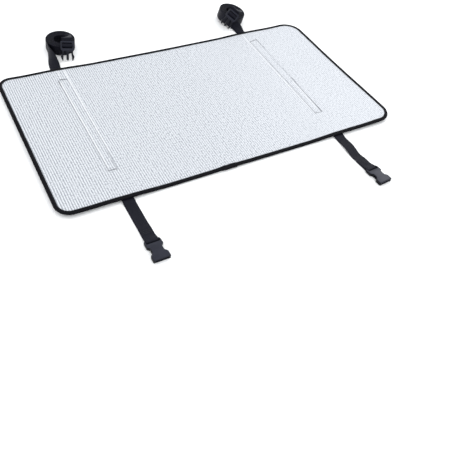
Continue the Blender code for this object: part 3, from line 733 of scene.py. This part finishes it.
def edge_path():
    """Points and outward directions round the outer edge, once round and over the lap."""
    low_x, low_y = OUTER_MIN
    high_x, high_y = OUTER_MAX
    points = []

    def straight(start, end, outward):
        steps = round(math.dist(start, end) / TAPE_STEP)
        for share in shares(steps, 0)[:-1]:
            points.append((*between(start, end, share), outward))

    def corner(radius, centre, from_angle):
        for angle in arc(from_angle, from_angle + 90, 24)[:-1]:
            aim = (math.cos(angle), math.sin(angle))
            points.append((centre[0] + radius * aim[0], centre[1] + radius * aim[1], aim))

    front_left, front_right, back_right, back_left = CORNER_RADIUS.values()
    straight((LAP_X, low_y), (high_x - front_right, low_y), (0, -1))
    corner(front_right, (high_x - front_right, low_y + front_right), -90)
    straight((high_x, low_y + front_right), (high_x, high_y - back_right), (1, 0))
    corner(back_right, (high_x - back_right, high_y - back_right), 0)
    straight((high_x - back_right, high_y), (low_x + back_left, high_y), (0, 1))
    corner(back_left, (low_x + back_left, high_y - back_left), 90)
    straight((low_x, high_y - back_left), (low_x, low_y + front_left), (-1, 0))
    corner(front_left, (low_x + front_left, low_y + front_left), 180)
    straight((low_x + front_left, low_y), (LAP_X + LAP_LENGTH, low_y), (0, -1))
    points.append((LAP_X + LAP_LENGTH, low_y, (0, -1)))
    return points


def tape_section(layers):
    """The folded tape's section: (inward, height over the panel's lower face) pairs, upper face first."""
    step = layers * (TAPE_THICK + GAP)
    top = PANEL_THICK + GAP + step + TAPE_THICK
    low = -GAP - step - TAPE_THICK
    middle, half = (top + low) / 2, (top - low) / 2
    wall = TAPE_THICK - step
    section = [(TAPE_COVER, top - TAPE_EDGE_DOWN), (TAPE_COVER - TAPE_EDGE_IN, top)]
    for angle in arc(90, 270, 8):
        section.append((-step + FOLD_BULGE * (1 + math.cos(angle)), middle + half * math.sin(angle)))
    section += [(TAPE_COVER - TAPE_EDGE_IN, low), (TAPE_COVER, low + TAPE_EDGE_DOWN),
                (TAPE_COVER, low + TAPE_THICK), (wall + FOLD_INSIDE, low + TAPE_THICK),
                (wall, middle - FOLD_FLAT), (wall, middle + FOLD_FLAT),
                (wall + FOLD_INSIDE, top - TAPE_THICK), (TAPE_COVER, top - TAPE_THICK)]
    return section


def on_edge(x, y, outward, inward):
    px, py = x - outward[0] * inward, y - outward[1] * inward
    if outward[0] > 0:
        px -= right_edge_hollow(py)
    return px, py


def make_binding(surface):
    """The folded tape with a slightly uneven inner edge."""
    points = edge_path()
    rings, uvs = [], []
    travelled = 0.0
    lap_start = len(points) - 1 - round(LAP_LENGTH / TAPE_STEP)
    for index, (x, y, outward) in enumerate(points):
        travelled += math.dist((x, y), points[max(0, index - 1)][:2])
        section = tape_section(smooth((index - lap_start + CLIMB_STEPS) / CLIMB_STEPS))
        ring = []
        around = 0.0
        for k, (inward, height) in enumerate(section):
            around += math.dist((inward, height), section[max(0, k - 1)])
            if inward > TAPE_COVER / 2:
                inward += WAVER * ripple(travelled, 0.0, WAVER_SCALE, seed=7.0)
            px, py = on_edge(x, y, outward, inward)
            if k < UPPER_POINTS:
                height += max(0.0, PUCKER * ripple(travelled, inward, PUCKER_SCALE, seed=2.0))
            ring.append(to_world(px, py, panel_underside(px, py) + height))
            uvs.append((travelled, around))
        rings.append(ring)
    vertices, faces = loft(rings)
    return add_object("binding_tape", vertices, faces, surface, smooth_angle=45, uvs=uvs), travelled


def binding_seam():
    """One row of stitches near the tape's inner edge, all the way round."""
    points = edge_path()
    lap_steps = round(LAP_LENGTH / TAPE_STEP)
    row = []
    for index, (x, y, outward) in enumerate(points):
        layers = 2 if index < lap_steps or index >= len(points) - lap_steps else 1
        px, py = on_edge(x, y, outward, TAPE_COVER - TAPE_SEAM_IN)
        top = PANEL_THICK + layers * (TAPE_THICK + GAP) + TAPE_SEAM_RISE
        row.append(to_world(px, py, panel_underside(px, py) + top))
    lengths = [0.0]
    for a, b in zip(row, row[1:]):
        lengths.append(lengths[-1] + (b - a).length)
    index = 0

    def at(distance):
        nonlocal index
        while index < len(row) - 2 and lengths[index + 1] < distance:
            index += 1
        stretch = lengths[index + 1] - lengths[index]
        return row[index].lerp(row[index + 1], (distance - lengths[index]) / stretch)

    count = int(lengths[-1] / TAPE_PITCH)
    return [[at((i + part) * TAPE_PITCH) for part in TAPE_STITCH] for i in range(count)]


# Webbing

def loop_route():
    """The sewn tail, round the bar and back over it, in (along, z)."""
    route = [(-SEWN_TAIL + (SEWN_TAIL + BAR_ALONG) * i / 12, BAR_Z - LOOP_RADIUS) for i in range(12)]
    for angle in arc(-90, 90, 18):
        route.append((BAR_ALONG + LOOP_RADIUS * math.cos(angle), BAR_Z + LOOP_RADIUS * math.sin(angle)))
    high, second = BAR_Z + LOOP_RADIUS, WEB_Z + WEB_THICK + GAP
    for share in shares(14):
        route.append((BAR_ALONG - LOOP_RETURN * share, high + (second - high) * smooth(share)))
    flat_start, flat_end = BAR_ALONG - LOOP_RETURN, SEWN_END - SEWN_TAIL
    for share in shares(5):
        route.append((flat_start + (flat_end - flat_start) * share, second))
    for share in shares(12):
        route.append((flat_end - STEP_DOWN * share, second + (WEB_Z - second) * smooth(share)))
    return route


def socket_axes(side):
    turn = math.radians(side["socket_turn"])
    along = Vector((math.sin(turn), -math.cos(turn), 0))
    across = Vector((math.cos(turn), math.sin(turn), 0))
    return to_world(side["front_x"], side["bar_y"], 0), along, across


def under_panel(y):
    """Distance in from the panel's nearer edge, and the strap's share of the panel's shape, from 0 to 1."""
    edge = min(y + TAPE_COVER, VISIBLE_Y + TAPE_COVER - y)
    return edge, smooth((edge + TWIST_START) / (TWIST_START - TWIST_CLEAR))


def under_panel_z(side, y):
    edge, share = under_panel(y)
    tape = (TAPE_THICK + GAP) * (1 - smooth((edge - TAPE_COVER) / TAPE_CLEARING))
    inside = panel_underside(strap_x(side, y), y) - (GAP + WEB_THICK / 2 + tape)
    return WEB_Z + (inside - WEB_Z) * share


def under_panel_across(side, y):
    x, half = strap_x(side, y), WEB_WIDTH / 2
    slope = (panel_underside(x + half, y) - panel_underside(x - half, y)) / WEB_WIDTH
    return Vector((1, 0, slope * under_panel(y)[1])).normalized()


def roll_axes(side):
    axis = Vector((*side["roll_lean"], 1)).normalized()
    flat_x = Vector((0, 1, 0)).cross(axis).normalized()
    return flat_x, axis.cross(flat_x), axis


def roll_place(side, angle, radius, height):
    flat_x, flat_y, axis = roll_axes(side)
    lift = side["roll_radius"] * math.sqrt(max(0.0, 1 - axis.z ** 2))
    foot = to_world(*side["roll_centre"], lift)
    return foot + flat_x * (radius * math.cos(angle)) + flat_y * (radius * math.sin(angle)) + axis * height


def roll_point(side, travelled, height=WEB_WIDTH / 2):
    """A place in the middle of the webbing's thickness, after an angle of travel from the roll's entry."""
    radius = side["roll_radius"] - TURN_PITCH * travelled / (2 * math.pi) - WEB_THICK / 2
    return roll_place(side, math.radians(side["entry_angle"]) - travelled, radius, height)


def entry_heading(side):
    angle = math.radians(side["entry_angle"])
    flat_x, flat_y, _ = roll_axes(side)
    return flat_x * math.sin(angle) - flat_y * math.cos(angle)


def front_route(side):
    """Centres and width directions from the sewn loop to the panel's back edge."""
    bar_end, along, across = socket_axes(side)
    route = [(bar_end + along * s + UP * z, across) for s, z in loop_route()]
    start = route[-1][0]
    front_y = start.y + MIDDLE_Y
    first, last = -TAPE_COVER - TWIST_START, VISIBLE_Y + TAPE_COVER + TWIST_START
    for share in shares(30):
        y = front_y + (first - front_y) * share
        x = start.x + (side["front_x"] - MIDDLE_X - start.x) * smooth(share)
        lift = side["hump"] * math.sin(math.pi * share) ** 2
        turned = across.lerp(Vector((1, 0, 0)), smooth(share))
        route.append((Vector((x, y - MIDDLE_Y, WEB_Z + lift)), turned))
    for share in shares(150):
        y = first + (last - first) * share
        route.append((to_world(strap_x(side, y), y, under_panel_z(side, y)), under_panel_across(side, y)))
    return route


def twist_route(side, start):
    """The strap turns onto its edge, its left edge staying down, and meets the roll's outer turn."""
    low_start = start - Vector((WEB_WIDTH / 2, 0, WEB_Z))
    low_end = roll_point(side, 0.0, height=0.0)
    end_axis = roll_axes(side)[2]
    reach = (low_end - low_start).length
    start_aim, end_aim = Vector((0, reach, 0)), entry_heading(side) * reach

    def low_edge(share):
        return hermite(low_start, start_aim, low_end, end_aim, share)

    route = []
    for share in shares(60)[:-1]:
        ahead, back = low_edge(min(1.0, share + 0.01)), low_edge(share - 0.01)
        turn = math.pi / 2 * smooth(share / TWIST_SHARE) ** TWIST_POWER
        heading = Vector((ahead.x - back.x, ahead.y - back.y, 0)).normalized()
        upright = UP.lerp(end_axis, smooth(share))
        across = (heading.cross(upright) * math.cos(turn) + upright * math.sin(turn)).normalized()
        place = low_edge(share)
        place.z += WEB_Z * math.cos(turn)
        route.append((place + across * (WEB_WIDTH / 2), across))
    return route


def turns_route(side):
    """The wound turns, each one a little higher or lower than the last."""
    last = math.radians((side["entry_angle"] - side["exit_angle"]) % 360)
    total = 2 * math.pi * FULL_TURNS + last
    axis = roll_axes(side)[2]
    route = []
    for share in shares(STEPS_PER_TURN * FULL_TURNS, 0):
        travelled = total * share
        ease = smooth(travelled / DRIFT_EASE) * smooth((total - travelled) / DRIFT_EASE)
        drift = ease * TURN_DRIFT * noise.noise(Vector((travelled / DRIFT_TURN, side["front_x"] * 9, 1.0)))
        route.append((roll_point(side, travelled) + axis * max(drift, LOWEST_DRIFT), axis))
    return route


def prong_axes(side):
    top, tip = to_world(*side["buckle_top"]), to_world(*side["buckle_tip"])
    along = (tip - top).normalized()
    across = Vector(side["buckle_across"])
    across = (across - along * across.dot(along)).normalized()
    return top, along, across, along.cross(across)


def thread_route():
    """Through both slots of the ladder, in (along, height)."""
    route = [(lead, -THREAD_OFFSET) for lead in THREAD_LEADS]
    for start, sign in zip(SLOT_STARTS, (1, -1)):
        middle = start + SLOT_LENGTH / 2
        for share in shares(16, 0):
            height = -sign * THREAD_OFFSET * math.cos(math.pi * share)
            route.append((middle + THREAD_SWEEP * (share - 0.5), height))
    return route + [(LADDER_LENGTH, -THREAD_OFFSET), (LADDER_LENGTH + THREAD_END, -THREAD_OFFSET)]


def tail_route(side, start):
    """The loose end: off the inner turn, over the rim, through the ladder's slots."""
    axis = roll_axes(side)[2]
    top, along, across, front = prong_axes(side)
    threaded = [top + along * distance + front * height for distance, height in thread_route()]
    places, turns = [start], [0.0]
    for angle, radius, height, turn in side["tail"]:
        places.append(roll_place(side, math.radians(angle), radius * MM, height * MM))
        turns.append(math.radians(turn))
    turns.append(math.pi / 2)
    steps = 12
    route = []
    for i, centre in enumerate(spline(places + threaded[:2], steps)[1:-1], 1):
        stretch = min(i // steps, len(turns) - 2)
        turn = turns[stretch] + (turns[stretch + 1] - turns[stretch]) * min(1.0, i / steps - stretch)
        route.append((centre, axis * math.cos(turn) + across * math.sin(turn)))
    return route + [(place, across) for place in threaded[1:]]


def web_section():
    half = [mm(*pair) for pair in WEB_HALF_SECTION_MM]
    upper = half + [(-wide, high) for wide, high in reversed(half[:-1])]
    return upper + [(wide, -high) for wide, high in reversed(upper[1:-1])]


def make_webbing(name, side, surface):
    """One strap in one piece: sewn loop, run under the panel, twist, wound turns and loose end."""
    route = front_route(side)
    route += twist_route(side, route[-1][0])
    route += turns_route(side)
    route += tail_route(side, route[-1][0])
    section = web_section()
    rings, uvs = [], []
    length = 0.0
    for i, (centre, aim) in enumerate(route):
        before_it, after = route[max(0, i - 1)][0], route[min(len(route) - 1, i + 1)][0]
        length += (centre - before_it).length
        heading = (after - before_it).normalized()
        across = (aim - heading * aim.dot(heading)).normalized()
        up = across.cross(heading)
        rings.append([centre + across * wide + up * high for wide, high in section])
        uvs += [(length, wide) for wide, _ in section]
    vertices, faces = loft(rings)
    return add_object(name, vertices, faces, surface, smooth_angle=50, uvs=uvs), length


# Buckles

def filleted(points, radius, closed=True):
    """The same outline with each corner rounded."""
    made = []
    count = len(points)
    for i, point in enumerate(points):
        if not closed and i in (0, count - 1):
            made.append(tuple(point))
            continue
        before_it, after = Vector(points[i - 1]), Vector(points[(i + 1) % count])
        here = Vector(point)
        back, ahead = before_it - here, after - here
        a = here + back.normalized() * min(radius, back.length * LONGEST_FILLET)
        b = here + ahead.normalized() * min(radius, ahead.length * LONGEST_FILLET)
        for share in (0.0, 0.33, 0.67, 1.0):
            made.append(tuple(a.lerp(here, share).lerp(here.lerp(b, share), share)))
    return made


def box_object(name, low, high, round_by=0.0):
    corners = [(x, y, z) for x in (low[0], high[0]) for y in (low[1], high[1]) for z in (low[2], high[2])]
    faces = [(0, 1, 3, 2), (4, 6, 7, 5), (0, 4, 5, 1), (2, 3, 7, 6), (0, 2, 6, 4), (1, 5, 7, 3)]
    work = bmesh.new()
    points = [work.verts.new(corner) for corner in corners]
    for face in faces:
        work.faces.new([points[k] for k in face])
    bmesh.ops.recalc_face_normals(work, faces=work.faces)
    if round_by:
        bmesh.ops.bevel(work, geom=work.edges[:], offset=round_by, segments=3, affect="EDGES", profile=0.5)
    return object_from(work, name)


def apply_modifiers(target):
    evaluated = target.evaluated_get(bpy.context.evaluated_depsgraph_get())
    result = bpy.data.meshes.new_from_object(evaluated)
    target.modifiers.clear()
    target.data = result


def cut(target, tool, operation="DIFFERENCE"):
    modifier = target.modifiers.new(tool.name, "BOOLEAN")
    modifier.operation = operation
    modifier.object = tool
    modifier.solver = "EXACT"
    apply_modifiers(target)
    bpy.data.objects.remove(tool, do_unlink=True)


def rounded_section(half_width, low, high):
    radius = min(SOCKET_ROUND, (high - low) / 2.2)
    section = []
    for sign_x, sign_z, start in ((1, -1, -90), (1, 1, 0), (-1, 1, 90), (-1, -1, 180)):
        centre_x = sign_x * (half_width - radius)
        centre_z = low + radius if sign_z < 0 else high - radius
        for angle in arc(start, start + 90, 6):
            section.append((centre_x + radius * math.cos(angle), centre_z + radius * math.sin(angle)))
    return section


def socket_size(along, column):
    """A column of the socket's sections, read at a distance along the buckle, in millimetres."""
    k = SOCKET_COLUMNS.index(column)
    for a, b in zip(SOCKET_SECTIONS, SOCKET_SECTIONS[1:]):
        if along <= b[0]:
            share = (along - a[0]) / (b[0] - a[0])
            return a[k] + (b[k] - a[k]) * share
    return SOCKET_SECTIONS[-1][k]


def finish_buckle(body):
    bevel = body.modifiers.new("soft edges", "BEVEL")
    bevel.width = SOFT_EDGE
    bevel.segments = 2
    bevel.limit_method = "ANGLE"
    bevel.angle_limit = math.radians(50)
    apply_modifiers(body)
    body.data.shade_smooth()
    body.data.set_sharp_from_angle(angle=math.radians(38))


def bar_object():
    work = bmesh.new()
    turned = Matrix.Translation((0, -BAR_ALONG, BAR_Z)) @ Matrix.Rotation(math.pi / 2, 4, "Y")
    bmesh.ops.create_cone(work, cap_ends=True, segments=24, radius1=BAR_RADIUS, radius2=BAR_RADIUS,
                          depth=BAR_LENGTH, matrix=turned)
    return object_from(work, "bar")


def make_socket(name, side, surface):
    """The socket buckle's moulded body with its mouth, strap window and bar."""
    profile = filleted([row[:2] for row in SOCKET_SECTIONS], SOCKET_FILLET_MM, closed=False)
    rings = []
    for along, half_width in profile:
        section = rounded_section(*mm(half_width, socket_size(along, "low"), socket_size(along, "high")))
        rings.append([Vector((across, -along * MM, z)) for across, z in section])
    body = add_object(name, *loft(rings), surface)
    cut(body, box_object("mouth", MOUTH_LOW, MOUTH_HIGH, MOUTH_EDGE))
    cut(body, box_object("window", WINDOW_LOW, WINDOW_HIGH))
    cut(body, bar_object(), "UNION")
    finish_buckle(body)
    body.location, _, _ = socket_axes(side)
    body.rotation_euler = (0, 0, math.radians(side["socket_turn"]))
    return body


def make_prongs(name, side, surface):
    """The prong buckle's ladder, two sprung arms and middle guide."""
    half = [(LADDER_HALF_WIDTH - LADDER_CORNER, 0.0), (LADDER_HALF_WIDTH, LADDER_CORNER),
            (LADDER_HALF_WIDTH, LADDER_LENGTH - LADDER_CORNER)]
    half += [mm(*pair) for pair in ARM_OUTLINE]
    outline = filleted(half + [(-across, along) for across, along in reversed(half)], LADDER_FILLET)
    count = len(outline)
    vertices = [(across, -along, -PRONG_THICK / 2) for across, along in outline]
    vertices += [(across, -along, PRONG_THICK / 2) for across, along in outline]
    faces = [tuple(range(count)), tuple(range(2 * count - 1, count - 1, -1))]
    faces += [(k, (k + 1) % count, (k + 1) % count + count, k + count) for k in range(count)]
    body = add_object(name, vertices, faces, surface)
    for start in SLOT_STARTS:
        cut(body, box_object("slot", (-SLOT_HALF_WIDTH, -start - SLOT_LENGTH, -PRONG_THICK),
                             (SLOT_HALF_WIDTH, -start, PRONG_THICK)))
    finish_buckle(body)
    top, along, across, front = prong_axes(side)
    axes = Matrix((across, -along, front)).transposed()
    body.matrix_world = Matrix.Translation(top) @ axes.to_4x4()
    return body


# Stage

def make_stage():
    scene = bpy.context.scene
    camera = link_object("camera", bpy.data.cameras.new("camera"))
    camera.data.lens = LENS
    camera.data.sensor_width = 36
    camera.data.shift_x, camera.data.shift_y = SHIFT_X, SHIFT_Y
    camera.data.clip_end = 50
    turned = Matrix((CAMERA_RIGHT, CAMERA_UP, CAMERA_BACK)).transposed()
    camera.matrix_world = Matrix.Translation(CAMERA_AT) @ turned.to_4x4()
    scene.camera = camera

    pale = Shader("floor")
    pale.set(Base_Color=FLOOR_COLOUR, Roughness=0.9)
    floor = add_object("floor", FLOOR_CORNERS, [(0, 1, 2, 3)], pale.material)
    floor.location.z = -FLOOR_DROP

    world = bpy.data.worlds.new("studio")
    world.use_nodes = True
    background = world.node_tree.nodes["Background"]
    background.inputs["Color"].default_value = SKY_COLOUR
    background.inputs["Strength"].default_value = SKY_STRENGTH
    scene.world = world
    scene.view_settings.view_transform = "Standard"

    for name, at, size, power in LIGHTS:
        light = link_object(name, bpy.data.lights.new(name, "AREA"))
        light.data.size, light.data.energy = size, power
        light.location = at
        light.rotation_euler = (-Vector(at)).to_track_quat("-Z", "Y").to_euler()


def main():
    foil, tape = foil_material(), tape_material()
    webbing, plastic = webbing_material(), plastic_material("buckle plastic")
    # A copy of the buckle plastic with painted shade over the prong buckle's arms.
    prong_plastic_shaded_arms = plastic_material("prong plastic with painted arm shade", ARMS_SHADE_SHARE)
    black_thread = thread_material("black thread", BLACK_THREAD)
    grey_thread = thread_material("grey thread", GREY_THREAD)

    panel = register(make_panel(foil), "foil_foam", "panel")
    seams = [register(sew("panel_seam_" + label, panel_seam(side), grey_thread, GREY_RADIUS), "foil_foam")
             for label, side in SIDES.items()]
    binding, tape_length = make_binding(tape)
    register(binding, "binding_tape", "binding")
    edge_seam = register(sew("binding_seam", binding_seam(), black_thread, BLACK_RADIUS), "binding_tape")
    for label, side in SIDES.items():
        strap, length = make_webbing("webbing_" + label, side, webbing)
        register(strap, "webbing", "strap_" + label, "roll_" + label, "strap_end_" + label)
        tack = register(sew("tack_" + label, bar_tack(side), black_thread, BLACK_RADIUS), "webbing")
        socket = make_socket("socket_" + label, side, plastic)
        register(socket, "buckle_plastic", "socket_buckle_" + label)
        prongs = make_prongs("prongs_" + label, side, prong_plastic_shaded_arms)
        register(prongs, "buckle_plastic", "prong_buckle_" + label)
    make_stage()


main()
